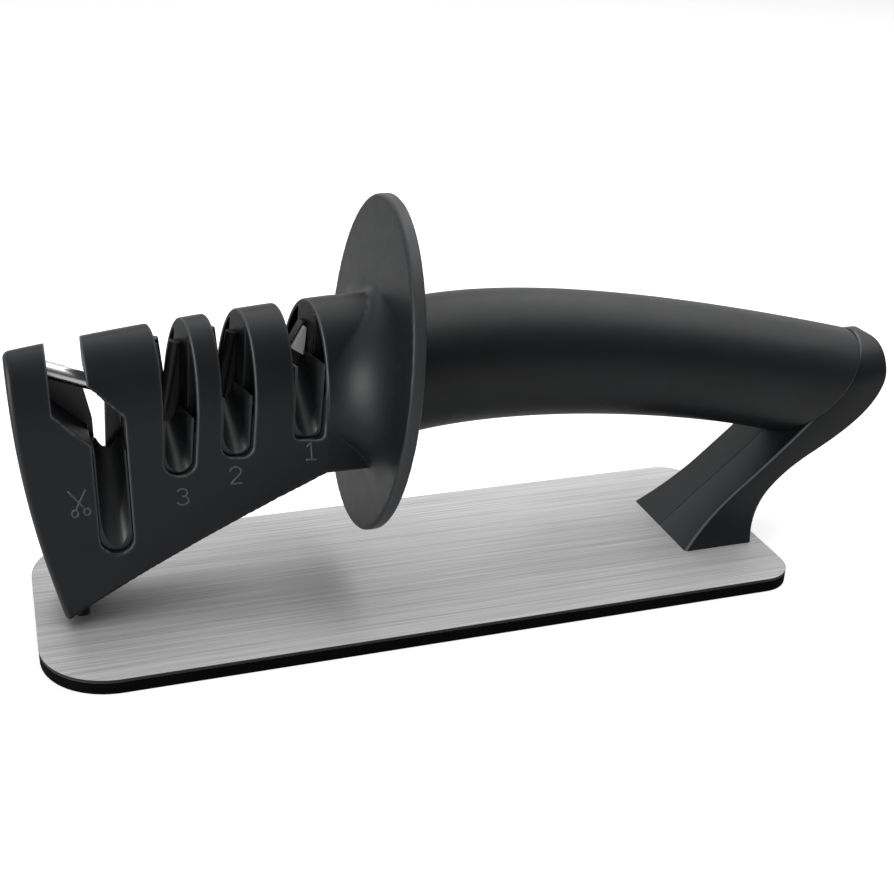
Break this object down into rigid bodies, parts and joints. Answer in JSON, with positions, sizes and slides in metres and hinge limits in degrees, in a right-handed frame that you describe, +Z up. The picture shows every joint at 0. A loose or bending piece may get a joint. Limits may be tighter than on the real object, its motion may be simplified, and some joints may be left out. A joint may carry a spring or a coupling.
{
  "type": "manual knife sharpener",
  "caption": "Free-standing pull-through knife and scissors sharpener: slotted black hood, oval finger guard, drooping soft handle and swept leg on a brushed steel plate with a rubber pad",
  "frame": {"origin": "centre of the pad's underside, on the surface the sharpener stands on", "axes": "X along the plate with the hood at -X and the leg at +X, Y across, Z up"},
  "size_m": [0.2075, 0.0644, 0.0926],
  "materials": {
    "pad_rubber": "matt black rubber",
    "plate_steel": "brushed along the length",
    "body_black": "satin black moulding",
    "insert_black": "satin black moulding",
    "soft_touch": "soft matt sleeve",
    "core_plastic": "plain moulding",
    "carbide": "ground carbide",
    "diamond_coat": "fine grit coat",
    "grey_ceramic": "smooth grey ceramic",
    "polished_rod": "polished",
    "fastener_steel": "zinc plated"
  },
  "bodies": {
    "root": {"anti_slip_pad": "pad_rubber", "base_plate": "plate_steel", "toe_screws": "fastener_steel", "foot_screws": "fastener_steel", "head_housing": "body_black", "stage_one_holder": "insert_black", "stage_two_holder": "insert_black", "stage_three_holder": "insert_black", "scissors_holder": "insert_black", "coarse_blade_left": "carbide", "coarse_blade_right": "carbide", "diamond_rod_left": "diamond_coat", "diamond_rod_right": "diamond_coat", "ceramic_rod_left": "grey_ceramic", "ceramic_rod_right": "grey_ceramic", "scissors_rod": "polished_rod", "scissors_bar": "carbide", "retaining_plate": "insert_black", "retaining_screws": "fastener_steel", "handle_core": "core_plastic", "neck_pin": "fastener_steel", "soft_grip": "soft_touch", "leg_left_half": "body_black", "leg_right_half": "body_black", "leg_dowels": "fastener_steel"}
  },
  "joints": []
}
